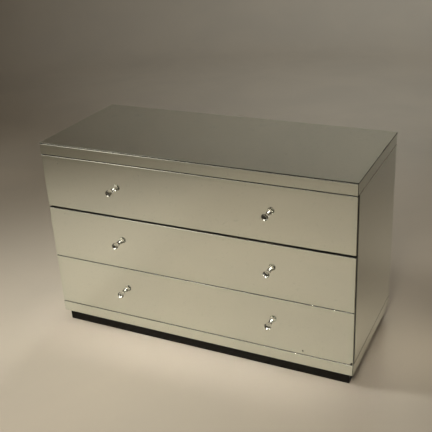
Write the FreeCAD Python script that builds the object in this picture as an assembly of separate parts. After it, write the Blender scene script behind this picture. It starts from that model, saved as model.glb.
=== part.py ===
import FreeCAD, Part
import math
import os
from FreeCAD import Vector

# A mirrored chest of three drawers, in millimetres. +Z is up and the drawers open towards -Y.
# The origin is on the floor, under the middle of the chest's box, knobs included.
# The cabinet is a board carcass with mirror glass bonded to its outside, on a recessed plinth.

# Overall sizes, and the sheet materials
width = 1200.0
depth = 495.0
height = 764.0
board = 16.0
glass = 4.0
panel_arris = 1.5
top_arris = 0.5

# Front view, from the floor up. The three drawer fronts share the height that is left.
plinth_height = 45.5
base_strip_height = 43.3
top_strip_height = 40.0
front_gap = 2.4
upper_gap = 7.6

# Joints between mirror panels, and how the drawer fronts sit over the cabinet's front edges.
# The top glass lies back a little, so that the arris of the strip below it shows.
top_glass_setback = 1.5
side_top_joint = 2.4
side_base_joint = 1.5
drawer_front_board = 15.0
glass_end_gap = 0.5
board_end_gap = 1.0
plinth_lip = 4.0

# Rails, and the back panel in its rebate
rail_depth = 40.0
rail_setback = 1.0
back_thickness = 4.0
rebate_width = 8.0

# Drawer boxes
box_board = 12.0
box_lift = 14.0
box_headroom = 42.0
bottom_thickness = 6.0
bottom_lift = 10.0
groove_depth = 6.0

# Drawer slides: a fixed channel, a sliding channel, and balls in a cage between them
slide_height = 35.0
slide_thickness = 12.7
slide_steel = 1.2
slide_setback = 2.0
slide_back_clearance = 19.0
slide_overlap_open = 113.0
channel_gap = 2.0
lip_clearance = 0.7
ball_diameter = 3.0
ball_clearance = 0.05
ball_pitch = 30.0
balls_per_row = 4
cage_plate = 1.0
cage_web = 0.8
cage_gap = 0.4
cage_overhang = 10.0

# Knobs: a cut crystal head on a turned metal base
knob_spacing = 600.0
knob_reach = 34.0
knob_base_length = 6.0
knob_foot_radius = 8.0
knob_foot_thickness = 1.2
knob_neck_radius = 6.4
knob_cup_radius = 7.4
knob_cup_length = 2.0
crystal_facets = 8
crystal_waist_reach = 11.0
crystal_waist_radius = 7.6
crystal_girdle_radius = 12.5
crystal_girdle_length = 4.0
crystal_crown_length = 5.0
crystal_table_radius = 8.5

# Screws and dowels
knob_screw_radius = 2.0
knob_screw_blind_end = 2.5
knob_hole_clearance = 0.5
pan_head_radius = 3.6
pan_head_height = 2.0
wood_screw_radius = 1.75
wood_screw_backing = 3.0
flat_head_radius = 3.5
slide_screw_inset = 35.0
screws_per_channel = 3
back_screw_bite = 10.0
back_screw_inset = 60.0
back_screws_per_edge = 4
dowel_radius = 4.0
dowel_long_end = 20.0
dowel_backing = 5.0
dowel_inset = 60.0
dowels_per_edge = 3
rail_dowel_inset = 9.0

# Places that follow from the sizes above
half = width / 2
front = -(depth + knob_reach) / 2 + knob_reach
back = front + depth
carcass_front = front + glass
front_board_back = carcass_front + board
drawer_board_back = carcass_front + drawer_front_board
panel_back = back - back_thickness
side_out = half - glass
side_in = side_out - board
top_under = height - glass - board
base_top = plinth_height + base_strip_height
bottom_under = base_top - board
drawer_zone = height - glass - top_strip_height - base_top
front_height = (drawer_zone - 3 * front_gap - upper_gap) / 3
lower_floor = base_top + front_gap
middle_floor = lower_floor + front_height + front_gap
upper_floor = middle_floor + front_height + upper_gap
top_strip_low = upper_floor + front_height + front_gap
drawer_floors = {"upper": upper_floor, "middle": middle_floor, "lower": lower_floor}
rail_heights = {"upper": upper_floor - upper_gap / 2, "lower": middle_floor - front_gap / 2}
rail_front = front_board_back + rail_setback
slide_front = front_board_back + slide_setback
slide_length = panel_back - slide_back_clearance - slide_front
slide_travel = slide_length - slide_overlap_open
box_out = side_in - slide_thickness
box_in = box_out - box_board
box_back = slide_front + slide_length
box_height = front_height - box_lift - box_headroom
box_bottom_low = box_lift + bottom_lift
knob_screw_grip = knob_base_length - knob_screw_blind_end
dowel_short_end = board - dowel_backing

# The section of a slide, measured from the cabinet's side (u) and from its middle height (v)
race_gap = ball_diameter + 2 * ball_clearance
fixed_half = slide_height / 2
fixed_edge = slide_thickness - slide_steel - channel_gap
fixed_lip_end = fixed_half - slide_steel - race_gap + lip_clearance
sliding_half = fixed_half - slide_steel - race_gap
cage_start = slide_steel + cage_gap
cage_edge = fixed_edge - slide_steel - cage_gap
sliding_start = cage_start + cage_web + cage_gap
ball_u = (cage_start + cage_web + cage_edge) / 2
ball_v = sliding_half + race_gap / 2
cage_length = (balls_per_row - 1) * ball_pitch + 2 * cage_overhang

sides = {"left": -1, "right": 1}
forward = Vector(0, -1, 0)
upward = Vector(0, 0, 1)


# ------------------------------------------------------------------ shapes used throughout
def save(name, *solids):
    """Write one node: a single solid, or a group of separate ones."""
    shape = solids[0] if len(solids) == 1 else Part.makeCompound(list(solids))
    shape.exportStep(os.path.join("parts", name + ".step"))


def block(x, y, z):
    """A rectangular block between two places on each axis, given in either order."""
    low = Vector(min(x), min(y), min(z))
    high = Vector(max(x), max(y), max(z))
    size = high - low
    return Part.makeBox(size.x, size.y, size.z, low)


def centred(half_width):
    return (-half_width, half_width)


def spread(low, high, count):
    return [low + (high - low) * i / (count - 1) for i in range(count)]


def rod(radius, start, direction, length):
    return Part.makeCylinder(radius, length, start, direction)


def cut(shape, tools):
    return shape.cut(Part.makeCompound(tools))


def arrissed(sheet, outward, size):
    """A sheet of mirror glass with an arris ground around its outer face."""
    face = max(sheet.Faces, key=lambda side: side.CenterOfMass.dot(outward))
    return sheet.makeChamfer(size, face.Edges)


def upright_prism(outline, z):
    """An outline of (x, y) corners, drawn up between two heights."""
    corners = [Vector(x, y, z[0]) for x, y in outline]
    return polygon_face(corners).extrude(Vector(0, 0, z[1] - z[0]))


def polygon_face(corners):
    return Part.Face(Part.makePolygon([*corners, corners[0]]))


def turned(outline, start, direction):
    """A closed (radius, distance) outline spun about the line from start along direction."""
    across = Vector(0, 0, 1) if abs(direction.z) < 0.5 else Vector(1, 0, 0)
    corners = [start + across * radius + direction * distance for radius, distance in outline]
    return polygon_face(corners).revolve(start, direction, 360)


# ------------------------------------------------------------------ screws and dowels
def flat_head_screw(point, direction, length):
    """A countersunk screw whose head is flush with the surface at the point."""
    sink = flat_head_radius - wood_screw_radius
    outline = [
        (0, 0),
        (flat_head_radius, 0),
        (wood_screw_radius, sink),
        (wood_screw_radius, length),
        (0, length),
    ]
    return turned(outline, point, direction)


def pan_head_screw(point, direction, radius, length):
    """A screw whose head stands on the surface at the point, and whose shank goes in."""
    bevel = pan_head_height / 3
    outline = [
        (0, -pan_head_height),
        (pan_head_radius - bevel, -pan_head_height),
        (pan_head_radius, bevel - pan_head_height),
        (pan_head_radius, 0),
        (radius, 0),
        (radius, length),
        (0, length),
    ]
    return turned(outline, point, direction)


def dowel(seam, direction):
    """A dowel across a seam: its long end behind it, its short end in the board ahead."""
    start = seam - direction * dowel_long_end
    return rod(dowel_radius, start, direction, dowel_long_end + dowel_short_end)


def carcass_dowels():
    """Dowels that join the uprights to the top, the bottom, the cross rails and the front rails."""
    pins = []
    rail_ys = (rail_front + rail_dowel_inset, rail_front + rail_depth - rail_dowel_inset)
    front_rail_middles = ((plinth_height + base_top) / 2, (top_strip_low + top_under) / 2)
    for side in sides.values():
        outward = Vector(side, 0, 0)
        middle = side * (side_in + board / 2)
        pins += [dowel(Vector(middle, front_board_back, z), forward) for z in front_rail_middles]
        ends = [(y, z) for z in rail_heights.values() for y in rail_ys]
        for y in spread(carcass_front + dowel_inset, panel_back - dowel_inset, dowels_per_edge):
            pins.append(dowel(Vector(middle, y, top_under), upward))
            ends.append((y, base_top - board / 2))
        pins += [dowel(Vector(side * side_in, y, z), outward) for y, z in ends]
    return pins


def back_panel_screws():
    """Screws along the back panel's four edges, flush with its outside."""
    low = bottom_under + board / 2
    high = (top_strip_low + top_under) / 2
    edge = side_in + rebate_width / 2
    points = []
    for z in spread(low + back_screw_inset, high - back_screw_inset, back_screws_per_edge):
        points += [(side * edge, z) for side in sides.values()]
    for x in spread(back_screw_inset - side_in, side_in - back_screw_inset, back_screws_per_edge):
        points += [(x, low), (x, high)]
    length = back_thickness + back_screw_bite
    return [flat_head_screw(Vector(x, back, z), forward, length) for x, z in points]


# ------------------------------------------------------------------ drawer slides
def channel(upper_half, side, y, z, length):
    """A straight channel whose section is symmetrical about its middle height."""
    section = upper_half + [(u, -v) for u, v in reversed(upper_half)]
    corners = [Vector(side * (side_in - u), y, z + v) for u, v in section]
    return polygon_face(corners).extrude(Vector(0, length, 0))


def fixed_channel(side, z):
    """The channel on the cabinet's side, with lips turned in to hold the ball cage."""
    section = [
        (0, fixed_half),
        (fixed_edge, fixed_half),
        (fixed_edge, fixed_lip_end),
        (fixed_edge - slide_steel, fixed_lip_end),
        (fixed_edge - slide_steel, fixed_half - slide_steel),
        (slide_steel, fixed_half - slide_steel),
    ]
    return channel(section, side, slide_front, z, slide_length)


def sliding_channel(side, z):
    """The channel on the drawer's side, open towards the cabinet's side."""
    section = [
        (slide_thickness, sliding_half),
        (sliding_start, sliding_half),
        (sliding_start, sliding_half - slide_steel),
        (slide_thickness - slide_steel, sliding_half - slide_steel),
    ]
    return channel(section, side, slide_front, z, slide_length)


def ball_cage(side, z):
    """A cage and its balls. It lies half a travel back, so that it is in both channels always."""
    top = ball_v + cage_plate / 2
    section = [
        (cage_start, top),
        (cage_edge, top),
        (cage_edge, top - cage_plate),
        (cage_start + cage_web, top - cage_plate),
    ]
    y = slide_front + slide_travel / 2
    cage = channel(section, side, y, z, cage_length)
    hole_radius = ball_diameter / 2 + ball_clearance
    balls = []
    holes = []
    for i in range(balls_per_row):
        for v in centred(ball_v):
            centre = Vector(side * (side_in - ball_u), y + cage_overhang + i * ball_pitch, z + v)
            balls.append(Part.makeSphere(ball_diameter / 2, centre))
            holes.append(rod(hole_radius, centre - upward * cage_plate, upward, 2 * cage_plate))
    return [cut(cage, holes), *balls]


def slide_screw_places():
    first = slide_front + slide_screw_inset
    last = slide_front + slide_length - slide_screw_inset
    return spread(first, last, screws_per_channel)


def fixed_channel_screws(side, z):
    """Screws from the fixed channel into the cabinet's side, flush so that the cage passes."""
    x = side * (side_in - slide_steel)
    length = slide_steel + board - wood_screw_backing
    outward = Vector(side, 0, 0)
    return [flat_head_screw(Vector(x, y, z), outward, length) for y in slide_screw_places()]


def sliding_channel_screws(side, z):
    """Pan-head screws from the sliding channel's hollow into the drawer's side."""
    x = side * (box_out + slide_steel)
    length = slide_steel + box_board - wood_screw_backing
    inward = Vector(-side, 0, 0)
    return [
        pan_head_screw(Vector(x, y, z), inward, wood_screw_radius, length)
        for y in slide_screw_places()
    ]


def slide_middle(floor):
    return floor + box_lift + box_height / 2


# ------------------------------------------------------------------ knobs
def knob_base(x, z):
    """A turned base: a foot on the glass, a narrow neck and a cup for the crystal."""
    outline = [
        (0, 0),
        (knob_foot_radius, 0),
        (knob_foot_radius, knob_foot_thickness),
        (knob_neck_radius, 2 * knob_foot_thickness),
        (knob_neck_radius, knob_base_length - knob_cup_length),
        (knob_cup_radius, knob_base_length),
        (0, knob_base_length),
    ]
    foot = Vector(x, front, z)
    bore = rod(knob_screw_radius, foot, forward, knob_screw_grip)
    return turned(outline, foot, forward).cut(bore)


def crystal_level(x, z, reach, radius, turn):
    """The corners of one level of a crystal, turned by part of a facet."""
    step = 2 * math.pi / crystal_facets
    angles = [(i + turn) * step for i in range(crystal_facets)]
    return [
        Vector(x + radius * math.cos(angle), front - reach, z + radius * math.sin(angle))
        for angle in angles
    ]


def crystal_band(level, turned_level):
    """The triangles between a level of the crystal and one turned by half a facet."""
    faces = []
    for i in range(crystal_facets):
        j = (i + 1) % crystal_facets
        faces.append(polygon_face([level[i], level[j], turned_level[i]]))
        faces.append(polygon_face([turned_level[i], turned_level[j], level[j]]))
    return faces


def knob_head(x, z):
    """A cut crystal with long facets from a waist to a girdle, closed by a crown and a table."""
    crown_low = knob_reach - crystal_crown_length
    girdle_low = crown_low - crystal_girdle_length
    foot = crystal_level(x, z, knob_base_length, knob_cup_radius, 0)
    waist = crystal_level(x, z, crystal_waist_reach, crystal_waist_radius, 0.5)
    flare = crystal_level(x, z, girdle_low, crystal_girdle_radius, 0)
    girdle = crystal_level(x, z, crown_low, crystal_girdle_radius, 0.5)
    table = crystal_level(x, z, knob_reach, crystal_table_radius, 0)
    faces = crystal_band(foot, waist) + crystal_band(flare, waist)
    faces += crystal_band(flare, girdle) + crystal_band(table, girdle)
    crystal = Part.Solid(Part.Shell(faces + [polygon_face(foot), polygon_face(table)]))
    if crystal.Volume < 0:
        crystal.reverse()
    return crystal


# ------------------------------------------------------------------ cabinet
def build_carcass():
    dowels = carcass_dowels()
    back_screws = back_panel_screws()
    channels = []
    slide_screws = []
    for floor in drawer_floors.values():
        z = slide_middle(floor)
        for side in sides.values():
            screws = fixed_channel_screws(side, z)
            channels.append(cut(fixed_channel(side, z), screws))
            slide_screws += screws
    save("carcass_dowels", *dowels)
    save("back_panel_screws", *back_screws)
    save("slide_cabinet_members", *channels)
    save("slide_cabinet_screws", *slide_screws)

    full_height = (plinth_height, top_under)
    for name, side in sides.items():
        x = (side * side_in, side * side_out)
        upright = block(x, (front_board_back, back), full_height)
        rebate_x = (side * side_in, side * (side_in + rebate_width))
        rebate = block(rebate_x, (panel_back, back), full_height)
        save(name + "_side_board", cut(upright, [rebate, *dowels, *back_screws, *slide_screws]))

    inside = centred(side_in)
    whole_width = centred(side_out)
    front_rail_y = (carcass_front, front_board_back)
    back_rail_y = (panel_back - board, panel_back)
    top_rail_z = (top_strip_low, top_under)
    top = block(whole_width, (carcass_front, back), (top_under, top_under + board))
    save("top_board", cut(top, dowels))
    save("top_front_rail", cut(block(whole_width, front_rail_y, top_rail_z), dowels))
    save("top_back_rail", cut(block(inside, back_rail_y, top_rail_z), back_screws))
    for name, z in rail_heights.items():
        rail_y = (rail_front, rail_front + rail_depth)
        rail = block(inside, rail_y, (z - board / 2, z + board / 2))
        save(name + "_cross_rail", cut(rail, dowels))
    base_rail = block(whole_width, front_rail_y, (plinth_height, base_top))
    save("base_front_rail", cut(base_rail, dowels))
    bottom = block(inside, (front_board_back, panel_back), (bottom_under, base_top))
    save("bottom_board", cut(bottom, dowels + back_screws))
    panel = block(centred(side_in + rebate_width), (panel_back, back), full_height)
    save("back_panel", cut(panel, back_screws))


def plinth_board(name, foot_x, foot_y, tongue_x, tongue_y):
    """A board on edge: a foot that carries the boards above it, and a tongue up behind them."""
    foot = block(foot_x, foot_y, (0, plinth_height))
    tongue = block(tongue_x, tongue_y, (plinth_height, bottom_under))
    save("plinth_" + name, foot.fuse(tongue).removeSplitter())


def build_plinth():
    """Four rebated boards under the bottom board, with a lip under the boards around them."""
    foot_front = front_board_back - plinth_lip
    front_inner = front_board_back + board
    back_inner = panel_back - board
    inside = centred(side_in)
    foot_width = centred(side_in + plinth_lip)
    plinth_board("front", foot_width, (foot_front, front_inner), inside, (front_board_back, front_inner))
    plinth_board("back", foot_width, (back_inner, panel_back), inside, (back_inner, panel_back))
    y = (front_inner, back_inner)
    for name, side in sides.items():
        inner = side * (side_in - board)
        plinth_board(name, (side * (side_in + plinth_lip), inner), y, (side * side_in, inner), y)


def build_cabinet_mirrors():
    """The strips of the top and base are mitred at the front corners, and the top laps them."""
    top = block(centred(half), (front + top_glass_setback, back), (height - glass, height))
    save("top_mirror", arrissed(top, upward, top_arris))
    side_zone = (base_top + side_base_joint, top_strip_low - side_top_joint)
    for name, side in sides.items():
        sheet = block((side * side_out, side * half), (front_board_back, back), side_zone)
        save(name + "_side_mirror", arrissed(sheet, Vector(side, 0, 0), panel_arris))

    strips = {"top": (top_strip_low, height - glass), "base": (plinth_height, base_top)}
    front_outline = [
        (-half, front),
        (half, front),
        (side_out, carcass_front),
        (-side_out, carcass_front),
    ]
    for level, z in strips.items():
        strip = upright_prism(front_outline, z)
        save(level + "_front_mirror", arrissed(strip, forward, panel_arris))
        for name, side in sides.items():
            outline = [
                (side * half, front),
                (side * half, back),
                (side * side_out, back),
                (side * side_out, carcass_front),
            ]
            strip = arrissed(upright_prism(outline, z), Vector(side, 0, 0), panel_arris)
            save(level + "_" + name + "_mirror", strip)


# ------------------------------------------------------------------ drawers
def build_drawer_front(prefix, floor, bottom):
    """A mirror on a board that covers the cabinet's front edges, so its ends show at the sides."""
    z = (floor, floor + front_height)
    knob_z = floor + front_height / 2
    knob_xs = centred(knob_spacing / 2)
    inside_points = [Vector(x, drawer_board_back, knob_z) for x in knob_xs]
    thickness = drawer_front_board + glass
    grip = thickness + knob_screw_grip
    glass_hole = knob_screw_radius + 2 * knob_hole_clearance
    board_hole = knob_screw_radius + knob_hole_clearance
    glass_cuts = [rod(glass_hole, point, forward, thickness) for point in inside_points]
    board_cuts = [rod(board_hole, point, forward, thickness) for point in inside_points]

    sheet = block(centred(half - glass_end_gap), (front, carcass_front), z)
    save(prefix + "mirror", cut(arrissed(sheet, forward, panel_arris), glass_cuts))
    backing = block(centred(half - board_end_gap), (carcass_front, drawer_board_back), z)
    save(prefix + "front_board", cut(backing, [*board_cuts, bottom]))
    save(prefix + "knob_bases", *[knob_base(x, knob_z) for x in knob_xs])
    save(prefix + "knob_heads", *[knob_head(x, knob_z) for x in knob_xs])
    return [pan_head_screw(point, forward, knob_screw_radius, grip) for point in inside_points]


def build_drawer(name, floor):
    prefix = name + "_drawer_"
    box_z = (floor + box_lift, floor + box_lift + box_height)
    slide_z = slide_middle(floor)
    bottom_z = (floor + box_bottom_low, floor + box_bottom_low + bottom_thickness)
    bottom_y = (drawer_board_back - groove_depth, box_back - box_board + groove_depth)
    bottom = block(centred(box_in + groove_depth), bottom_y, bottom_z)
    knob_screws = build_drawer_front(prefix, floor, bottom)

    slide_screws = []
    for side in sides.values():
        slide_screws += sliding_channel_screws(side, slide_z)
    for label, side in sides.items():
        x = (side * box_in, side * box_out)
        upright = block(x, (drawer_board_back, box_back), box_z)
        save(prefix + label + "_side", cut(upright, [*slide_screws, bottom]))
    rear = block(centred(box_in), (box_back - box_board, box_back), box_z)
    save(prefix + "back", cut(rear, [bottom]))
    save(prefix + "bottom", bottom)
    save(prefix + "screws", *knob_screws, *slide_screws)

    channels = [cut(sliding_channel(side, slide_z), slide_screws) for side in sides.values()]
    save(prefix + "slide_members", *channels)
    cages = [ball_cage(side, slide_z) for side in sides.values()]
    save(name + "_slide_ball_cages", *cages[0], *cages[1])


os.makedirs("parts", exist_ok=True)
build_carcass()
build_plinth()
build_cabinet_mirrors()
for drawer, drawer_floor in drawer_floors.items():
    build_drawer(drawer, drawer_floor)
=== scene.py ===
import bpy
import math
from mathutils import Matrix, Vector


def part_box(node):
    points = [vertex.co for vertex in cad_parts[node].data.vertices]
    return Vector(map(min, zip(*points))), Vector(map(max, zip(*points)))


# A mirrored chest of three drawers: a black board carcass clad in mirror glass, on a recessed
# plinth. Sizes are in metres, +Z is up and the drawers open towards -Y. Colours are linear RGB.
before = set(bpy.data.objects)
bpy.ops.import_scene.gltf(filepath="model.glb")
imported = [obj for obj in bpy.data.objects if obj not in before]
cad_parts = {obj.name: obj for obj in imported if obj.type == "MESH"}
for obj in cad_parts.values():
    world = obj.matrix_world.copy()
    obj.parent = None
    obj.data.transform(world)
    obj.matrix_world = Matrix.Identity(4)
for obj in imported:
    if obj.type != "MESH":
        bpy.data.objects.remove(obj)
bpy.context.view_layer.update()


# ------------------------------------------------------------------ carcass boards
# Two uprights, a top, a bottom and rails of 16 mm fibreboard, dowelled and glued together.
# They are sprayed satin black, and the thin paint is rubbed through to brown at the corners.
def add_node(tree, kind, **settings):
    node = tree.nodes.new(kind)
    for name, value in settings.items():
        setattr(node, name, value)
    return node


def feed(tree, socket, source):
    """Join another node's output to a socket, or give the socket a plain value."""
    if isinstance(source, bpy.types.NodeSocket):
        tree.links.new(source, socket)
    else:
        socket.default_value = source


def calc(tree, operation, *terms):
    node = add_node(tree, "ShaderNodeMath", operation=operation)
    for socket, term in zip(node.inputs, terms):
        feed(tree, socket, term)
    return node.outputs[0]


def part_of(tree, mask, strength):
    """A mask at part of its strength."""
    return calc(tree, "MULTIPLY", mask, strength)


def vector_calc(tree, operation, *terms):
    node = add_node(tree, "ShaderNodeVectorMath", operation=operation)
    for socket, term in zip(node.inputs, terms):
        feed(tree, socket, term)
    gives_number = operation in ("DOT_PRODUCT", "LENGTH", "DISTANCE")
    return node.outputs["Value" if gives_number else "Vector"]


def scaled(tree, vector, amount):
    node = add_node(tree, "ShaderNodeVectorMath", operation="SCALE")
    feed(tree, node.inputs[0], vector)
    feed(tree, node.inputs["Scale"], amount)
    return node.outputs["Vector"]


def stretched(tree, position, scales):
    """A position with its own scale along each axis: large scales make a pattern narrow."""
    return vector_calc(tree, "MULTIPLY", position, scales)


def fade(tree, value, start, end):
    """0 where the value is at start, 1 where it is at end, and a smooth step between."""
    node = add_node(tree, "ShaderNodeMapRange", interpolation_type="SMOOTHSTEP")
    for name, source in (("Value", value), ("From Min", start), ("From Max", end)):
        feed(tree, node.inputs[name], source)
    return node.outputs["Result"]


def lerp(tree, share, first, second):
    """The first value, going over to the second by a share from 0 to 1."""
    node = add_node(tree, "ShaderNodeMapRange")
    for name, source in (("Value", share), ("To Min", first), ("To Max", second)):
        feed(tree, node.inputs[name], source)
    return node.outputs["Result"]


def blend(tree, share, first, second):
    """The first colour, going over to the second by a share from 0 to 1."""
    node = add_node(tree, "ShaderNodeMix", data_type="RGBA")
    colours = [socket for socket in node.inputs if socket.type == "RGBA"]
    feed(tree, node.inputs[0], share)
    for socket, colour in zip(colours, (first, second)):
        feed(tree, socket, colour if isinstance(colour, bpy.types.NodeSocket) else (*colour, 1))
    return next(socket for socket in node.outputs if socket.type == "RGBA")


def cloud(tree, position, scale, detail=3.0, roughness=0.5, distortion=0.0):
    """Cloudy noise from 0 to 1. Its scale is the number of clouds in a metre, or about that."""
    node = add_node(tree, "ShaderNodeTexNoise")
    values = {"Vector": position, "Scale": scale, "Detail": detail}
    values |= {"Roughness": roughness, "Distortion": distortion}
    for name, value in values.items():
        feed(tree, node.inputs[name], value)
    return node.outputs["Fac"]


def place(tree):
    """Where a point is on the chest when it is shut, in metres."""
    return add_node(tree, "ShaderNodeTexCoord").outputs["Object"]


def seeded_place(tree, seed):
    """The place, shifted by a seed, so that like pieces don't share one pattern."""
    shift = scaled(tree, (3.7, 5.3, 7.9), seed)
    return vector_calc(tree, "ADD", place(tree), shift)


def start_group(name, inputs, outputs):
    """A shader node group. Each input has a name, a kind and a usual value."""
    group = bpy.data.node_groups.new(name, "ShaderNodeTree")
    for label, kind, value in inputs:
        socket = group.interface.new_socket(label, in_out="INPUT", socket_type="NodeSocket" + kind)
        socket.default_value = value
    for label, kind in outputs:
        group.interface.new_socket(label, in_out="OUTPUT", socket_type="NodeSocket" + kind)
    given = group.nodes.new("NodeGroupInput").outputs
    result = group.nodes.new("NodeGroupOutput").inputs
    return group, given, result


def use_group(tree, group, **values):
    node = add_node(tree, "ShaderNodeGroup", node_tree=group)
    for name, value in values.items():
        feed(tree, node.inputs[name], value)
    return node.outputs


def start_material(name):
    """A new material, its node tree and the inputs of its Principled shader."""
    material = bpy.data.materials.new(name)
    material.use_nodes = True
    tree = material.node_tree
    return material, tree, tree.nodes["Principled BSDF"].inputs


def raise_surface(tree, shader, height, depth):
    """Bump: a height from 0 to 1 that stands for a real depth in metres."""
    bump = add_node(tree, "ShaderNodeBump")
    bump.inputs["Distance"].default_value = depth
    feed(tree, bump.inputs["Height"], height)
    feed(tree, shader["Normal"], bump.outputs["Normal"])


def dress(node_name, material):
    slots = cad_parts[node_name].data.materials
    slots.clear()
    slots.append(material)


along_z = (0, 0, 1)
box_inputs = [("Low", "Vector", (0, 0, 0)), ("High", "Vector", (1, 1, 1))]

edge_distance, given, result = start_group(
    "distance_from_a_boards_edge", box_inputs, [("Distance", "Float")]
)
tree = edge_distance
point = place(tree)
from_low = vector_calc(tree, "SUBTRACT", point, given["Low"])
from_high = vector_calc(tree, "SUBTRACT", given["High"], point)
nearest = add_node(tree, "ShaderNodeSeparateXYZ")
feed(tree, nearest.inputs[0], vector_calc(tree, "MINIMUM", from_low, from_high))
x, y, z = nearest.outputs
low_pair = calc(tree, "MINIMUM", x, y)
high_pair = calc(tree, "MAXIMUM", x, y)
second_nearest = calc(tree, "MAXIMUM", low_pair, calc(tree, "MINIMUM", high_pair, z))
feed(tree, result["Distance"], second_nearest)

worn_edges, given, result = start_group(
    "worn_edges",
    [*box_inputs, ("Width", "Float", 0.002), ("Seed", "Float", 0.0)],
    [("Worn", "Float")],
)
tree = worn_edges
distance = use_group(tree, edge_distance, Low=given["Low"], High=given["High"])["Distance"]
spot = seeded_place(tree, given["Seed"])
ragged = calc(tree, "MULTIPLY", cloud(tree, spot, 55.0, 5.0, 0.65), given["Width"])
patchy = fade(tree, cloud(tree, spot, 7.0, 2.0), 0.42, 0.62)
worn_reach = 2.4
worn_rim = 0.0004
reach = part_of(tree, calc(tree, "MULTIPLY", ragged, patchy), worn_reach)
feed(tree, result["Worn"], fade(tree, calc(tree, "SUBTRACT", reach, distance), 0.0, worn_rim))

settled_dust, given, result = start_group(
    "settled_dust", [("Seed", "Float", 0.0)], [("Dust", "Float")]
)
tree = settled_dust
normal = add_node(tree, "ShaderNodeNewGeometry").outputs["Normal"]
facing_up = vector_calc(tree, "DOT_PRODUCT", normal, along_z)
spot = seeded_place(tree, given["Seed"])
drifts = fade(tree, cloud(tree, spot, 9.0, 4.0, 0.6), 0.35, 0.75)
grains = fade(tree, cloud(tree, spot, 420.0, 2.0), 0.52, 0.68)
lying = calc(tree, "MULTIPLY", fade(tree, facing_up, 0.3, 0.9), lerp(tree, drifts, 0.35, 1.0))
feed(tree, result["Dust"], calc(tree, "MULTIPLY", lying, lerp(tree, grains, 0.45, 1.0)))

fine_scratches, given, result = start_group(
    "fine_scratches",
    [("Seed", "Float", 0.0), ("Scale", "Float", 1.0)],
    [("Scratches", "Float")],
)
tree = fine_scratches
spot = scaled(tree, seeded_place(tree, given["Seed"]), given["Scale"])
scratch_slants = (0.35, 1.4, 2.5)
long_and_thin = (2.0, 90.0, 90.0)
for slant in scratch_slants:
    turned = add_node(tree, "ShaderNodeVectorRotate", rotation_type="EULER_XYZ")
    feed(tree, turned.inputs["Vector"], spot)
    turned.inputs["Rotation"].default_value = (slant, 0.8 * slant, 1.3 * slant)
    drawn_out = stretched(tree, turned.outputs["Vector"], long_and_thin)
    lines = fade(tree, cloud(tree, drawn_out, 3.0, 1.0, 0.4, 0.4), 0.70, 0.76)
    marks = lines if slant == scratch_slants[0] else calc(tree, "MAXIMUM", marks, lines)
feed(tree, result["Scratches"], marks)

paint_black = (0.011, 0.0105, 0.010)
paint_grey = (0.020, 0.019, 0.018)
scratched_paint = (0.10, 0.095, 0.09)
fibreboard_brown = (0.21, 0.135, 0.080)
dust_colour = (0.30, 0.28, 0.24)
paint_depth = 0.00012
paint_specular = 0.25


def painted_board(node_name, seed, wear_width=0.0016, dustiness=0.20):
    material, tree, shader = start_material(node_name + "_paint")
    low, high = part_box(node_name)
    spot = seeded_place(tree, seed)
    worn = use_group(tree, worn_edges, Low=low, High=high, Width=wear_width, Seed=seed)["Worn"]
    dust = use_group(tree, settled_dust, Seed=seed)["Dust"]
    dust = part_of(tree, dust, dustiness)
    marks = use_group(tree, fine_scratches, Seed=seed, Scale=1.0)["Scratches"]
    sprayed = blend(tree, cloud(tree, spot, 6.0, 4.0), paint_black, paint_grey)
    rubbed = blend(tree, part_of(tree, marks, 0.25), sprayed, scratched_paint)
    bared = blend(tree, worn, rubbed, fibreboard_brown)
    feed(tree, shader["Base Color"], blend(tree, dust, bared, dust_colour))
    sheen = lerp(tree, cloud(tree, spot, 14.0, 4.0, 0.6), 0.34, 0.52)
    dulled = calc(tree, "ADD", sheen, part_of(tree, dust, 1.2))
    feed(tree, shader["Roughness"], calc(tree, "MAXIMUM", dulled, part_of(tree, worn, 0.8)))
    shader["Specular IOR Level"].default_value = paint_specular
    orange_peel = cloud(tree, spot, 320.0, 2.0)
    raise_surface(tree, shader, calc(tree, "SUBTRACT", orange_peel, worn), paint_depth)
    dress(node_name, material)


carcass_boards = [
    "left_side_board",
    "right_side_board",
    "top_board",
    "bottom_board",
    "top_front_rail",
    "top_back_rail",
    "upper_cross_rail",
    "lower_cross_rail",
    "base_front_rail",
]
for number, board_name in enumerate(carcass_boards):
    painted_board(board_name, seed=1.0 + number)


# ------------------------------------------------------------------ plinth
# Four rebated boards on edge, set back under the uprights so that the chest seems to float.
# They have a duller black paint, scuffed and greyed near the floor by shoes and a mop.
plinth_black = (0.0040, 0.0034, 0.0028)
plinth_dull_black = (0.0068, 0.0058, 0.0048)
scuff_grey = (0.019, 0.0165, 0.0135)
scuff_height = 0.030
plinth_wear_width = 0.0012
plinth_specular = 0.14


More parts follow.
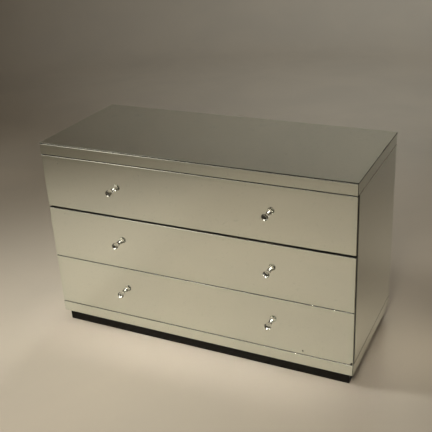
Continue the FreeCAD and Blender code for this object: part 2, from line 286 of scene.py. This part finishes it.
def plinth_board(node_name, seed):
    material, tree, shader = start_material(node_name + "_paint")
    low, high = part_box(node_name)
    spot = seeded_place(tree, seed)
    height = add_node(tree, "ShaderNodeSeparateXYZ")
    feed(tree, height.inputs[0], place(tree))
    near_floor = fade(tree, height.outputs["Z"], scuff_height, 0.0)
    level_streaks = stretched(tree, spot, (4.0, 4.0, 40.0))
    streaks = fade(tree, cloud(tree, level_streaks, 4.0, 5.0, 0.7), 0.48, 0.74)
    scuffs = calc(tree, "MULTIPLY", streaks, lerp(tree, near_floor, 0.25, 0.9))
    wear = use_group(tree, worn_edges, Low=low, High=high, Width=plinth_wear_width, Seed=seed)
    sprayed = blend(tree, cloud(tree, spot, 5.0, 3.0), plinth_black, plinth_dull_black)
    scuffed = blend(tree, scuffs, sprayed, scuff_grey)
    worn = part_of(tree, wear["Worn"], 0.6)
    feed(tree, shader["Base Color"], blend(tree, worn, scuffed, fibreboard_brown))
    feed(tree, shader["Roughness"], lerp(tree, scuffs, 0.42, 0.75))
    shader["Specular IOR Level"].default_value = plinth_specular
    raise_surface(tree, shader, cloud(tree, spot, 300.0, 2.0), paint_depth)
    dress(node_name, material)


for number, place_name in enumerate(("front", "back", "left", "right")):
    plinth_board("plinth_" + place_name, seed=20.0 + number)

# ------------------------------------------------------------------ dowels
# Plain pins of straight-grained beech, glued into the uprights, the top and the rails.
# They show only where a joint is open, so their grain is kept simple.
beech_pale = (0.66, 0.44, 0.26)
beech_tan = (0.52, 0.32, 0.17)
beech_pores = (0.36, 0.20, 0.10)
pore_depth = 0.0001

material, tree, shader = start_material("beech")
spot = place(tree)
bands = cloud(tree, stretched(tree, spot, (30.0, 160.0, 160.0)), 1.0, 4.0, 0.6, 1.2)
fibres = cloud(tree, stretched(tree, spot, (90.0, 900.0, 900.0)), 1.0, 2.0, 0.6)
pores = fade(tree, fibres, 0.60, 0.72)
beech = blend(tree, bands, beech_tan, beech_pale)
feed(tree, shader["Base Color"], blend(tree, pores, beech, beech_pores))
feed(tree, shader["Roughness"], lerp(tree, bands, 0.5, 0.7))
raise_surface(tree, shader, pores, -pore_depth)
dress("carcass_dowels", material)

# ------------------------------------------------------------------ back panel
# A 4 mm sheet of hardboard in a rebate, screwed along its four edges. Its outside is bare:
# felted brown fibres, paler flecks, a few darker damp marks, and it is darker towards its edges.
felt_dark = (0.235, 0.150, 0.085)
felt_pale = (0.375, 0.255, 0.155)
blotch_brown = (0.29, 0.185, 0.108)
fleck_tan = (0.52, 0.39, 0.26)
damp_brown = (0.15, 0.095, 0.055)
rim_brown = (0.15, 0.10, 0.06)
darker_rim_width = 0.010
felt_depth = 0.0004

material, tree, shader = start_material("hardboard")
low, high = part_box("back_panel")
spot = place(tree)
felt = cloud(tree, stretched(tree, spot, (1.0, 1.0, 1.6)), 90.0, 6.0, 0.7, 1.0)
upright_spot = stretched(tree, spot, (1, 1, 0.35))
flecks = fade(tree, cloud(tree, upright_spot, 420.0, 2.0), 0.63, 0.72)
blotches = fade(tree, cloud(tree, spot, 2.6, 3.0, 0.55, 0.6), 0.40, 0.66)
damp_spot = vector_calc(tree, "ADD", spot, (9, 0, 3))
damp = fade(tree, cloud(tree, damp_spot, 1.7, 4.0, 0.6, 1.5), 0.60, 0.68)
edge = use_group(tree, edge_distance, Low=low, High=high)["Distance"]
brown = blend(tree, felt, felt_dark, felt_pale)
brown = blend(tree, part_of(tree, blotches, 0.35), brown, blotch_brown)
brown = blend(tree, part_of(tree, flecks, 0.55), brown, fleck_tan)
brown = blend(tree, part_of(tree, damp, 0.25), brown, damp_brown)
# Darker towards the panel's edges.
darker_rim = fade(tree, edge, darker_rim_width, 0.0)
brown = blend(tree, part_of(tree, darker_rim, 0.4), brown, rim_brown)
feed(tree, shader["Base Color"], brown)
feed(tree, shader["Roughness"], lerp(tree, felt, 0.52, 0.78))
raise_surface(tree, shader, calc(tree, "ADD", felt, part_of(tree, flecks, 0.5)), felt_depth)
dress("back_panel", material)

# ------------------------------------------------------------------ mirror glass
# Sheets of 4 mm float glass, silvered and painted grey on the back, with a ground arris round
# the face. They are glued to the boards. Damp has eaten the silver here and there at an edge,
# and things stood on the top have rubbed it in a few places.
silver = (0.865, 0.890, 0.835)
silver_green = (0.815, 0.870, 0.785)
ground_glass = (0.66, 0.68, 0.60)
coarse_ground_glass = (0.60, 0.63, 0.54)
painted_lit_arris_glass = (0.84, 0.85, 0.78)
shaded_glass = (0.075, 0.075, 0.050)
lost_silver = (0.060, 0.052, 0.036)
backing_paint = (0.215, 0.22, 0.225)
thin_backing_paint = (0.17, 0.175, 0.18)
dark_edge = (0.012, 0.0115, 0.0065)
painted_light_edge = (0.20, 0.20, 0.16)
green_edge_width = 0.030
eaten_depth = 0.0036
pinhole_margin = 0.05
glass_specular = 0.2
glass_wave = 0.00010

silvered_glass, given, result = start_group(
    "silvered_glass",
    [
        *box_inputs,
        ("Outward", "Vector", (0, 0, 1)),
        ("Seed", "Float", 0.0),
        ("Edge Colour", "Color", (*dark_edge, 1)),
        ("Haze", "Float", 0.02),
        ("Scratched", "Float", 0.3),
        ("Spoilt Places", "Float", 0.0),
        ("Rubbed Places", "Float", 0.0),
    ],
    [("Colour", "Color"), ("Roughness", "Float"), ("Metallic", "Float"), ("Height", "Float")],
)
tree = silvered_glass
seed = given["Seed"]
spot = seeded_place(tree, seed)
normal = add_node(tree, "ShaderNodeNewGeometry").outputs["True Normal"]
facing = vector_calc(tree, "DOT_PRODUCT", normal, given["Outward"])
is_face = calc(tree, "GREATER_THAN", facing, 0.95)
is_arris = calc(tree, "SUBTRACT", calc(tree, "GREATER_THAN", facing, 0.5), is_face)
is_back = calc(tree, "LESS_THAN", facing, -0.5)
edge = use_group(tree, edge_distance, Low=given["Low"], High=given["High"])["Distance"]

eaten = part_of(tree, cloud(tree, spot, 90.0, 5.0, 0.7, 0.5), eaten_depth)
where = fade(tree, cloud(tree, spot, 7.0, 2.0, 0.5), 0.58, 0.72)
eaten_past_edge = calc(tree, "SUBTRACT", calc(tree, "MULTIPLY", eaten, where), edge)
lost = fade(tree, eaten_past_edge, -0.0001, 0.0005)
lost = calc(tree, "MAXIMUM", lost, given["Spoilt Places"])
pinholes = fade(tree, cloud(tree, spot, 150.0, 1.0), 0.775, 0.80)
pinholes = calc(tree, "MULTIPLY", pinholes, fade(tree, edge, pinhole_margin, 0.01))
lost = calc(tree, "MAXIMUM", lost, part_of(tree, pinholes, 0.8))

smears = cloud(tree, stretched(tree, spot, (1.0, 1.0, 1.7)), 3.2, 5.0, 0.62, 1.4)
smeared = fade(tree, smears, 0.44, 0.72)
wiped = use_group(tree, fine_scratches, Seed=seed, Scale=0.5)["Scratches"]
scratched = calc(tree, "MULTIPLY", wiped, given["Scratched"])
dust = use_group(tree, settled_dust, Seed=seed)["Dust"]
haze = calc(tree, "MULTIPLY", given["Haze"], lerp(tree, smeared, 0.8, 1.2))
haze = calc(tree, "ADD", haze, part_of(tree, dust, 0.022))
haze = calc(tree, "ADD", haze, part_of(tree, scratched, 0.25))
scoured = fade(tree, cloud(tree, spot, 190.0, 3.0, 0.6), 0.42, 0.62)
scoured = calc(tree, "MULTIPLY", scoured, given["Rubbed Places"])
haze = calc(tree, "ADD", haze, part_of(tree, scoured, 0.11))

greened = fade(tree, edge, green_edge_width, 0.0)
face_colour = blend(tree, part_of(tree, greened, 0.55), silver, silver_green)
face_colour = blend(tree, lost, face_colour, lost_silver)
colour = blend(tree, is_face, given["Edge Colour"], face_colour)
rise = vector_calc(tree, "DOT_PRODUCT", normal, along_z)
# Painted light on the ground arrises: those that face up are painted pale, a painted highlight,
# and those that face down are painted dark, a painted shade.
painted_light_upward = fade(tree, rise, 0.3, 0.6)
painted_shade_downward = fade(tree, rise, -0.3, -0.6)
ground = blend(tree, cloud(tree, spot, 240.0, 2.0), ground_glass, coarse_ground_glass)
ground = blend(tree, painted_light_upward, ground, painted_lit_arris_glass)
ground = blend(tree, painted_shade_downward, ground, shaded_glass)
colour = blend(tree, is_arris, colour, ground)
painted = blend(tree, cloud(tree, spot, 30.0, 4.0), backing_paint, thin_backing_paint)
feed(tree, result["Colour"], blend(tree, is_back, colour, painted))

face_rough = lerp(tree, smeared, 0.012, 0.040)
face_rough = calc(tree, "ADD", face_rough, part_of(tree, scratched, 0.12))
face_rough = calc(tree, "ADD", face_rough, part_of(tree, lost, 0.10))
rough = lerp(tree, is_face, 0.45, face_rough)
rough = lerp(tree, is_arris, rough, lerp(tree, cloud(tree, spot, 90.0, 2.0), 0.16, 0.30))
feed(tree, result["Roughness"], lerp(tree, is_back, rough, 0.6))
clear_metal = calc(tree, "SUBTRACT", 1.0, haze)
face_metal = calc(tree, "SUBTRACT", clear_metal, part_of(tree, lost, 0.9))
metal = calc(tree, "MULTIPLY", is_face, calc(tree, "MAXIMUM", face_metal, 0.0))
arris_metal = calc(tree, "MULTIPLY", is_arris, lerp(tree, painted_light_upward, 0.85, 0.80))
feed(tree, result["Metallic"], calc(tree, "ADD", metal, arris_metal))
feed(tree, result["Height"], cloud(tree, spot, 2.6, 1.0))


def near_places(tree, places, start, end):
    """1 within a ragged patch round each place, which comes with its radius, and 0 elsewhere."""
    ragged = part_of(tree, cloud(tree, place(tree), 260.0, 4.0, 0.7), 0.6)
    for number, (centre, radius) in enumerate(places):
        away = vector_calc(tree, "DISTANCE", place(tree), centre)
        share = calc(tree, "ADD", calc(tree, "DIVIDE", away, radius), ragged)
        here = fade(tree, share, end, start)
        found = here if number == 0 else calc(tree, "MAXIMUM", found, here)
    return found


def mirror_sheet(
    node_name, outward, seed,
    edge_colour=dark_edge, haze=0.015, scratched=0.25, spoilt=(), rubbed=(),
):
    """One sheet. Its spoilt places have lost their silver, and its rubbed ones are scoured."""
    material, tree, shader = start_material(node_name + "_glass")
    low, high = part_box(node_name)
    glass = {"Low": low, "High": high, "Outward": outward, "Seed": seed}
    glass |= {"Edge Colour": (*edge_colour, 1), "Haze": haze, "Scratched": scratched}
    if spoilt:
        glass["Spoilt Places"] = near_places(tree, spoilt, 1.05, 1.35)
    if rubbed:
        glass["Rubbed Places"] = near_places(tree, rubbed, 0.5, 1.5)
    parts = use_group(tree, silvered_glass, **glass)
    feed(tree, shader["Base Color"], parts["Colour"])
    feed(tree, shader["Roughness"], parts["Roughness"])
    feed(tree, shader["Metallic"], parts["Metallic"])
    shader["Specular IOR Level"].default_value = glass_specular
    raise_surface(tree, shader, parts["Height"], glass_wave)
    dress(node_name, material)


forward = Vector((0, -1, 0))
leftward = Vector((-1, 0, 0))
rightward = Vector((1, 0, 0))
upward = Vector((0, 0, 1))
top_level = 0.764
top_rubs = [
    (Vector((0.110, 0.195, top_level)), 0.026),
    (Vector((0.150, 0.210, top_level)), 0.030),
    (Vector((-0.055, 0.120, top_level)), 0.022),
    (Vector((-0.500, 0.130, top_level)), 0.016),
    (Vector((-0.415, 0.165, top_level)), 0.024),
]
mirror_sheet("top_mirror", upward, 31.0, haze=0.022, scratched=0.3, rubbed=top_rubs)
mirror_sheet("top_front_mirror", forward, 32.0)
mirror_sheet("base_front_mirror", forward, 33.0)
# The left sheet's edge is painted pale, a painted highlight of the light from the left.
mirror_sheet("left_side_mirror", leftward, 34.0, edge_colour=painted_light_edge)
mirror_sheet("top_left_mirror", leftward, 35.0)
mirror_sheet("base_left_mirror", leftward, 36.0)
mirror_sheet("right_side_mirror", rightward, 37.0)
mirror_sheet("top_right_mirror", rightward, 38.0)
mirror_sheet("base_right_mirror", rightward, 39.0)

# ------------------------------------------------------------------ drawer slides
# Ball-bearing slides of bright zinc-plated steel, rolled to a channel and screwed on. They
# have rolling lines along their length, a thin film of grease and dull finger marks.
drawers = ("upper", "middle", "lower")
bright_zinc = (0.64, 0.65, 0.655)
dull_zinc = (0.56, 0.565, 0.56)
cage_zinc = (0.70, 0.70, 0.69)
scratched_zinc = (0.80, 0.80, 0.80)
grease_brown = (0.40, 0.36, 0.26)
rolled_along_y = (900.0, 8.0, 900.0)
rolled_depth = 0.000004


def zinc_material(name, seed, rolling=rolled_along_y, tint=bright_zinc, dull=dull_zinc):
    material, tree, shader = start_material(name)
    spot = seeded_place(tree, seed)
    rolled = cloud(tree, stretched(tree, spot, rolling), 1.0, 2.0)
    bloom = fade(tree, cloud(tree, spot, 45.0, 5.0, 0.65), 0.30, 0.80)
    grease = fade(tree, cloud(tree, spot, 18.0, 3.0, 0.5, 1.0), 0.50, 0.62)
    marks = use_group(tree, fine_scratches, Seed=seed, Scale=3.0)["Scratches"]
    plated = blend(tree, bloom, tint, dull)
    plated = blend(tree, part_of(tree, grease, 0.16), plated, grease_brown)
    plated = blend(tree, part_of(tree, marks, 0.5), plated, scratched_zinc)
    feed(tree, shader["Base Color"], plated)
    rough = lerp(tree, bloom, 0.36, 0.44)
    feed(tree, shader["Roughness"], calc(tree, "SUBTRACT", rough, part_of(tree, grease, 0.03)))
    shader["Metallic"].default_value = 1.0
    raise_surface(tree, shader, rolled, rolled_depth)
    return material


dress("slide_cabinet_members", zinc_material("cabinet_slide_zinc", 51.0))
for number, name in enumerate(drawers):
    channel = zinc_material(name + "_drawer_slide_zinc", 52.0 + number)
    dress(name + "_drawer_slide_members", channel)
    cage = zinc_material(name + "_cage_zinc", 56.0 + number, tint=cage_zinc)
    dress(name + "_slide_ball_cages", cage)

# ------------------------------------------------------------------ screws
# Zinc-plated steel: flush wood screws in the back and the fixed channels, pan heads elsewhere.
# Their plate has fine lines and a little yellow bloom.
yellow_zinc = (0.70, 0.67, 0.58)
dull_yellow_zinc = (0.56, 0.53, 0.45)
drawn_along_z = (900.0, 900.0, 8.0)
screw_zinc = zinc_material("screw_zinc", 60.0, drawn_along_z, yellow_zinc, dull_yellow_zinc)
dress("back_panel_screws", screw_zinc)
dress("slide_cabinet_screws", screw_zinc)
for name in drawers:
    dress(name + "_drawer_screws", screw_zinc)

# ------------------------------------------------------------------ drawer boxes
# Birch plywood, lacquered: 12 mm sides and back, butted and stapled, and a 6 mm bottom held
# in a groove. The faces are pale veneer. The edges show the plies, light and dark by turns.
veneer_pale = (0.70, 0.535, 0.345)
veneer_tan = (0.54, 0.375, 0.215)
veneer_flame = (0.77, 0.62, 0.43)
veneer_pores = (0.36, 0.225, 0.12)
pale_ply = (0.66, 0.50, 0.32)
end_ply = (0.40, 0.26, 0.145)
end_ply_pores = (0.27, 0.165, 0.085)
lacquer_coat = 0.25
lacquer_roughness = 0.25
grain_depth = 0.00012

birch_ply, given, result = start_group(
    "birch_ply",
    [
        ("Low", "Vector", (0, 0, 0)),
        ("Seed", "Float", 0.0),
        ("Grain", "Vector", (1, 0, 0)),
        ("Through", "Vector", (0, 1, 0)),
        ("Ply", "Float", 0.0013),
    ],
    [("Colour", "Color"), ("Roughness", "Float"), ("Height", "Float")],
)
tree = birch_ply
through = given["Through"]
spot = seeded_place(tree, given["Seed"])
along = scaled(tree, given["Grain"], vector_calc(tree, "DOT_PRODUCT", spot, given["Grain"]))
across = vector_calc(tree, "SUBTRACT", spot, along)
drawn_out = vector_calc(tree, "ADD", scaled(tree, along, 1.6), scaled(tree, across, 26.0))
figure = cloud(tree, drawn_out, 1.0, 5.0, 0.6, 1.8)
fibres = vector_calc(tree, "ADD", scaled(tree, along, 22.0), scaled(tree, across, 900.0))
pores = fade(tree, cloud(tree, fibres, 1.0, 2.0, 0.6), 0.60, 0.74)
flame = fade(tree, cloud(tree, spot, 5.0, 2.0, 0.5, 2.0), 0.50, 0.70)
veneer = blend(tree, figure, veneer_pale, veneer_tan)
veneer = blend(tree, part_of(tree, flame, 0.35), veneer, veneer_flame)
veneer = blend(tree, part_of(tree, pores, 0.5), veneer, veneer_pores)
normal = add_node(tree, "ShaderNodeNewGeometry").outputs["True Normal"]
square_on = calc(tree, "ABSOLUTE", vector_calc(tree, "DOT_PRODUCT", normal, through))
is_edge = calc(tree, "LESS_THAN", square_on, 0.5)
from_low = vector_calc(tree, "SUBTRACT", place(tree), given["Low"])
depth = vector_calc(tree, "DOT_PRODUCT", from_low, through)
wobble = part_of(tree, cloud(tree, spot, 30.0, 2.0), 0.25)
layer = calc(tree, "ADD", calc(tree, "DIVIDE", depth, given["Ply"]), wobble)
turn_about = calc(tree, "PINGPONG", layer, 1.0)
ply_tone = fade(tree, turn_about, 0.38, 0.62)
end_grain = fade(tree, cloud(tree, spot, 900.0, 2.0), 0.45, 0.62)
dark_ply = blend(tree, end_grain, end_ply, end_ply_pores)
edge_colour = blend(tree, ply_tone, pale_ply, dark_ply)
feed(tree, result["Colour"], blend(tree, is_edge, veneer, edge_colour))
feed(tree, result["Roughness"], lerp(tree, is_edge, lerp(tree, figure, 0.34, 0.48), 0.65))
sunk_pores = part_of(tree, pores, -1.0)
relief = calc(tree, "ADD", sunk_pores, calc(tree, "MULTIPLY", ply_tone, is_edge))
feed(tree, result["Height"], relief)

along_x = (1, 0, 0)
along_y = (0, 1, 0)
box_board_ply = 0.012 / 9
bottom_ply = 0.006 / 5


def plywood_part(node_name, seed, grain, through, ply):
    """One board. Its grain and the way through its plies each run along an axis."""
    material, tree, shader = start_material(node_name + "_plywood")
    low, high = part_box(node_name)
    wood = use_group(tree, birch_ply, Low=low, Seed=seed, Grain=grain, Through=through, Ply=ply)
    feed(tree, shader["Base Color"], wood["Colour"])
    feed(tree, shader["Roughness"], wood["Roughness"])
    shader["Coat Weight"].default_value = lacquer_coat
    shader["Coat Roughness"].default_value = lacquer_roughness
    raise_surface(tree, shader, wood["Height"], grain_depth)
    dress(node_name, material)


for number, name in enumerate(drawers):
    seed = 70.0 + 5 * number
    plywood_part(name + "_drawer_left_side", seed, along_y, along_x, box_board_ply)
    plywood_part(name + "_drawer_right_side", seed + 1, along_y, along_x, box_board_ply)
    plywood_part(name + "_drawer_back", seed + 2, along_x, along_y, box_board_ply)
    plywood_part(name + "_drawer_bottom", seed + 3, along_x, along_z, bottom_ply)

# ------------------------------------------------------------------ drawer fronts
# A black painted board closes over the cabinet's front edges, with a mirror sheet glued to its
# face, so that the board's black ends show at the sides. The lowest sheet has lost silver at
# its right foot and in one spot above its lower edge.
foot_inset, foot_rise, foot_radius = 0.004, 0.003, 0.007
spot_inset, spot_rise, spot_radius = 0.180, 0.014, 0.0035
for number, name in enumerate(drawers):
    board_name = name + "_drawer_front_board"
    painted_board(board_name, seed=90.0 + number, wear_width=0.0008, dustiness=0.02)
    low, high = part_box(name + "_drawer_mirror")
    spoilt = []
    if name == "lower":
        spoilt.append((Vector((high.x - foot_inset, low.y, low.z + foot_rise)), foot_radius))
        spoilt.append((Vector((high.x - spot_inset, low.y, low.z + spot_rise)), spot_radius))
    mirror_sheet(name + "_drawer_mirror", forward, 94.0 + number, spoilt=spoilt)

# ------------------------------------------------------------------ knob bases
# Turned brass with bright chrome plate: a foot on the glass, a neck and a cup for the crystal.
# Handling has left faint smears on the plate and fine rings from polishing.
chrome = (0.80, 0.81, 0.82)
smeared_chrome = (0.66, 0.66, 0.65)
scratched_chrome = (0.9, 0.9, 0.9)
polish_depth = 0.00002

material, tree, shader = start_material("knob_chrome")
spot = place(tree)
smears = fade(tree, cloud(tree, spot, 120.0, 4.0, 0.6, 1.0), 0.42, 0.66)
marks = use_group(tree, fine_scratches, Seed=7.0, Scale=8.0)["Scratches"]
plated = blend(tree, smears, chrome, smeared_chrome)
plated = blend(tree, part_of(tree, marks, 0.4), plated, scratched_chrome)
feed(tree, shader["Base Color"], plated)
feed(tree, shader["Roughness"], lerp(tree, smears, 0.05, 0.16))
shader["Metallic"].default_value = 1.0
raise_surface(tree, shader, marks, -polish_depth)
for name in drawers:
    dress(name + "_drawer_knob_bases", material)

# ------------------------------------------------------------------ knob heads
# Solid cut crystal, glued in the cup: it flares to a girdle, and closes to a flat table.
# The facets are polished, with a breath of grease where fingers close on them.
clear_crystal = (1.0, 1.0, 1.0)
greasy_crystal = (0.965, 0.975, 0.97)
crystal_ior = 1.56

material, tree, shader = start_material("crystal")
spot = place(tree)
fingered = fade(tree, cloud(tree, spot, 90.0, 3.0, 0.5, 0.8), 0.45, 0.70)
feed(tree, shader["Base Color"], blend(tree, fingered, clear_crystal, greasy_crystal))
feed(tree, shader["Roughness"], lerp(tree, fingered, 0.0, 0.03))
shader["Transmission Weight"].default_value = 1.0
shader["IOR"].default_value = crystal_ior
for name in drawers:
    dress(name + "_drawer_knob_heads", material)

# ------------------------------------------------------------------ studio floor and backdrop
# Pale seamless paper: level under and round the chest, and swept up, far out, into a round
# backdrop. Its tooth is fine, with faint clouding where the roll was handled. High up its
# colour is painted black, and to camera and mirror rays it glows with the room's dark tone: a
# painted darkness, so that the mirrors show no rim.
flat_radii = (0.0, 1.0, 2.0, 3.0)
backdrop_radius = 5.6
backdrop_height = 4.2
sweep_radius = 1.2
sweep_steps = 12
segments_around = 96
painted_dark_from = 3.15
painted_dark_above = 4.1
paper_pale = (0.545, 0.478, 0.392)
paper_clouded = (0.515, 0.455, 0.377)
dim_room = (0.090, 0.079, 0.062)
black = (0.0, 0.0, 0.0)
tooth_depth = 0.0001

profile = [(radius, 0.0) for radius in (*flat_radii, backdrop_radius - sweep_radius)]
for step in range(1, sweep_steps + 1):
    turn = math.radians(90) * step / sweep_steps
    out = backdrop_radius - sweep_radius + sweep_radius * math.sin(turn)
    profile.append((out, sweep_radius - sweep_radius * math.cos(turn)))
profile.append((backdrop_radius, backdrop_height))
angles = [math.tau * step / segments_around for step in range(segments_around)]
paper_points = [
    (radius * math.cos(angle), radius * math.sin(angle), height)
    for radius, height in profile
    for angle in angles
]
paper_faces = []
for ring in range(len(profile) - 1):
    for step in range(segments_around):
        a = ring * segments_around + step
        b = ring * segments_around + (step + 1) % segments_around
        paper_faces.append((a, b, b + segments_around, a + segments_around))
paper_mesh = bpy.data.meshes.new("studio_paper")
paper_mesh.from_pydata(paper_points, [], paper_faces)
paper_mesh.shade_smooth()
studio = bpy.data.objects.new("studio_paper", paper_mesh)
bpy.context.scene.collection.objects.link(studio)

material, tree, shader = start_material("studio_paper")
spot = place(tree)
clouding = fade(tree, cloud(tree, spot, 1.3, 4.0, 0.55, 0.5), 0.35, 0.68)
tooth = cloud(tree, spot, 700.0, 2.0)
paper = blend(tree, clouding, paper_pale, paper_clouded)
height = vector_calc(tree, "DOT_PRODUCT", spot, along_z)
# Painted darkness: high up the paper's colour goes to black, and camera and mirror rays see it
# glow with the room's dark tone.
lost = fade(tree, height, painted_dark_from, painted_dark_above)
path = add_node(tree, "ShaderNodeLightPath").outputs
seen = calc(tree, "MAXIMUM", path["Is Camera Ray"], path["Is Glossy Ray"])
feed(tree, shader["Base Color"], blend(tree, lost, paper, black))
painted_dark_glow = calc(tree, "MULTIPLY", lost, seen)
feed(tree, shader["Emission Color"], blend(tree, painted_dark_glow, black, dim_room))
shader["Emission Strength"].default_value = 1.0
feed(tree, shader["Roughness"], lerp(tree, clouding, 0.49, 0.57))
raise_surface(tree, shader, tooth, tooth_depth)
paper_mesh.materials.append(material)

# ------------------------------------------------------------------ studio light
# A key from the front, a gridded lamp from the left, a broad sheet overhead and a strip that
# draws the arrises. Small hooded lamps lift the floor, the backdrop, its walls and the back of
# the chest, and the dim air of the room fills the rest. Polished surfaces show only the key
# and the strip.
air_light = (0.098, 0.087, 0.0725)
warm_white = (0.99, 0.935, 0.80)
soft_white = (0.98, 1.0, 0.97)
cool_white = (0.92, 0.985, 1.0)

world = bpy.data.worlds.new("studio_air")
world.use_nodes = True
tree = world.node_tree
air = tree.nodes["Background"]
air.inputs["Color"].default_value = (*air_light, 1)
air.inputs["Strength"].default_value = 1.0
room = add_node(tree, "ShaderNodeBackground")
room.inputs["Color"].default_value = (*dim_room, 1)
room.inputs["Strength"].default_value = 1.0
path = add_node(tree, "ShaderNodeLightPath").outputs
seen = calc(tree, "MAXIMUM", path["Is Camera Ray"], path["Is Glossy Ray"])
seen = calc(tree, "MAXIMUM", seen, path["Is Transmission Ray"])
either = add_node(tree, "ShaderNodeMixShader")
feed(tree, either.inputs[0], seen)
feed(tree, either.inputs[1], air.outputs[0])
feed(tree, either.inputs[2], room.outputs[0])
feed(tree, tree.nodes["World Output"].inputs["Surface"], either.outputs[0])
bpy.context.scene.world = world


def softbox(name, location, target, size, power, beam, colour, mirrored=False):
    """An oval diffuser: its width and depth in metres, power in watts and beam in degrees."""
    data = bpy.data.lights.new(name, "AREA")
    data.shape = "ELLIPSE"
    data.size, data.size_y = size
    data.energy = power
    data.spread = math.radians(beam)
    data.color = colour
    lamp = bpy.data.objects.new(name, data)
    lamp.location = location
    lamp.visible_glossy = mirrored
    aim = Vector(target) - Vector(location)
    lamp.rotation_euler = aim.to_track_quat("-Z", "Y").to_euler()
    bpy.context.scene.collection.objects.link(lamp)


softbox(
    "key_light", location=(0.8, -3.4, 3.2), target=(-0.12, -0.38, 0.1),
    size=(1.4, 1.4), power=7.5, beam=48, colour=warm_white, mirrored=True,
)
softbox(
    "left_light", location=(-4.2, -1.25, 3.05), target=(-0.3, -0.55, 0),
    size=(1.3, 1.3), power=10.2, beam=42, colour=soft_white,
)
softbox(
    "overhead_light", location=(-1.7, -2.1, 3.4), target=(-1.7, -1.3, 0),
    size=(3.4, 1.8), power=3.6, beam=110, colour=warm_white,
)
softbox(
    "arris_light", location=(-2.1, -1.5, 3.4), target=(-1.6, -1.0, 0),
    size=(2.1, 0.5), power=2.0, beam=110, colour=warm_white, mirrored=True,
)
softbox(
    "near_light", location=(0.0, -2.2, 3.6), target=(0.0, -0.18, 0),
    size=(1.3, 0.1), power=0.50, beam=8, colour=soft_white,
)
softbox(
    "right_light", location=(2.6, -0.2, 2.6), target=(0.8, 0.05, 0),
    size=(0.15, 0.15), power=0.12, beam=12, colour=warm_white,
)
softbox(
    "backdrop_light", location=(0, 0, 3.8), target=(-0.3, 4.6, 1.35),
    size=(1.6, 1.6), power=36, beam=88, colour=cool_white,
)
softbox(
    "floor_light", location=(0, 0.4, 3.9), target=(0.1, 2.7, 0),
    size=(1.0, 1.0), power=1.8, beam=66, colour=cool_white,
)
softbox(
    "corner_light", location=(-1.2, 1.4, 3.9), target=(-3.2, 3.0, 0.1),
    size=(1.0, 1.0), power=0.6, beam=50, colour=cool_white,
)
softbox(
    "shade_light", location=(-2.7, 0.5, 3.6), target=(-2.15, 0.95, 0),
    size=(1.0, 1.0), power=0.46, beam=26, colour=soft_white,
)
softbox(
    "back_light", location=(-0.4, 4.4, 3.0), target=(-0.13, 0.3, 0.35),
    size=(1.4, 1.4), power=4.6, beam=30, colour=soft_white,
)
for name, x, y in (("front", 0.5, -4.6), ("left", -4.6, -0.6), ("right", 4.6, -0.6)):
    softbox(
        name + "_wall_light", location=(0, 0, 3.8), target=(x, y, 1.8),
        size=(1.6, 1.6), power=14, beam=80, colour=soft_white,
    )

# ------------------------------------------------------------------ camera
# A short telephoto lens, in front of the chest and to its right. It looks down on the chest,
# with its head tilted a little.
camera_place = Vector((1.1645, -2.3112, 1.6729))
camera_azimuth = math.radians(26.87)
camera_elevation = math.radians(25.15)
camera_roll = math.radians(-3.22)
camera_sensor = 36.0
camera_lens = 63.28

camera_back = Vector((
    math.sin(camera_azimuth) * math.cos(camera_elevation),
    -math.cos(camera_azimuth) * math.cos(camera_elevation),
    math.sin(camera_elevation),
))
level_right = Vector((0, 0, 1)).cross(camera_back).normalized()
level_up = camera_back.cross(level_right)
camera_right = level_right * math.cos(camera_roll) + level_up * math.sin(camera_roll)
camera_up = level_up * math.cos(camera_roll) - level_right * math.sin(camera_roll)
camera_data = bpy.data.cameras.new("camera")
camera_data.sensor_width = camera_sensor
camera_data.lens = camera_lens
camera = bpy.data.objects.new("camera", camera_data)
camera_axes = Matrix((camera_right, camera_up, camera_back)).transposed()
camera.matrix_world = Matrix.Translation(camera_place) @ camera_axes.to_4x4()
bpy.context.scene.collection.objects.link(camera)
bpy.context.scene.camera = camera
bpy.context.scene.view_settings.view_transform = "Standard"
